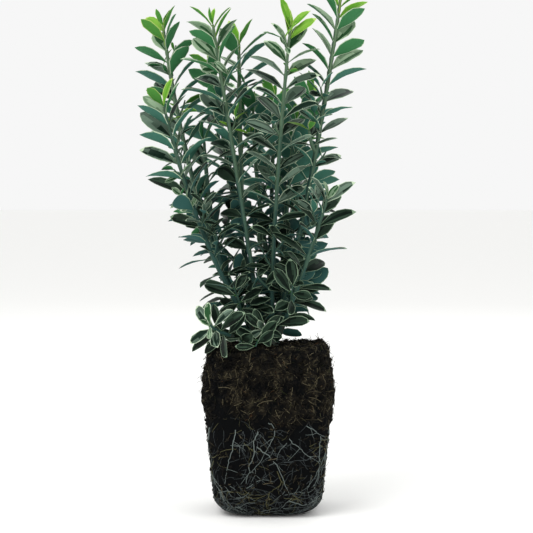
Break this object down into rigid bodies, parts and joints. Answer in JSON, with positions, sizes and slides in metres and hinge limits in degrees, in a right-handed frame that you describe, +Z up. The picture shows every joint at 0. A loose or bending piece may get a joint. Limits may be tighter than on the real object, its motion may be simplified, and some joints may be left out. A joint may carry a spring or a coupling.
{
  "type": "variegated box-leaf euonymus on its root ball",
  "caption": "Small upright evergreen shrub with narrow cream-edged leaves on slender stems, standing on its square tapered root ball.",
  "frame": {"origin": "centre of the flat underside of the root ball, at the level it stands on", "axes": "+Z up along the plant, -Y towards the front, +X to the right as seen from the front"},
  "size_m": [0.1604, 0.1313, 0.3726],
  "materials": {
    "compost": "dark, moist, fibrous compost, matt",
    "old_wood": "grey-brown bark, matt",
    "young_bark": "smooth grey-green bark, satin",
    "variegated_leaf": "leathery dark green leaf with a cream edge, satin"
  },
  "bodies": {
    "root": {"root_ball": "compost", "trunk": "old_wood", "stem_front": "young_bark", "stem_middle_left": "young_bark", "stem_outer_left": "young_bark", "stem_right": "young_bark", "stem_low_right": "young_bark", "stem_tall_left": "young_bark", "stem_low_front": "young_bark", "stem_back_right": "young_bark", "stem_back_left": "young_bark", "stem_back": "young_bark", "stem_low_back": "young_bark", "stem_middle_right": "young_bark", "stem_foot_front": "young_bark", "stem_low_side": "young_bark", "stem_low_back_left": "young_bark", "foliage_front": "variegated_leaf", "foliage_middle_left": "variegated_leaf", "foliage_outer_left": "variegated_leaf", "foliage_right": "variegated_leaf", "foliage_low_right": "variegated_leaf", "foliage_tall_left": "variegated_leaf", "foliage_low_front": "variegated_leaf", "foliage_back_right": "variegated_leaf", "foliage_back_left": "variegated_leaf", "foliage_back": "variegated_leaf", "foliage_low_back": "variegated_leaf", "foliage_middle_right": "variegated_leaf", "foliage_foot_front": "variegated_leaf", "foliage_low_side": "variegated_leaf", "foliage_low_back_left": "variegated_leaf"}
  },
  "joints": []
}
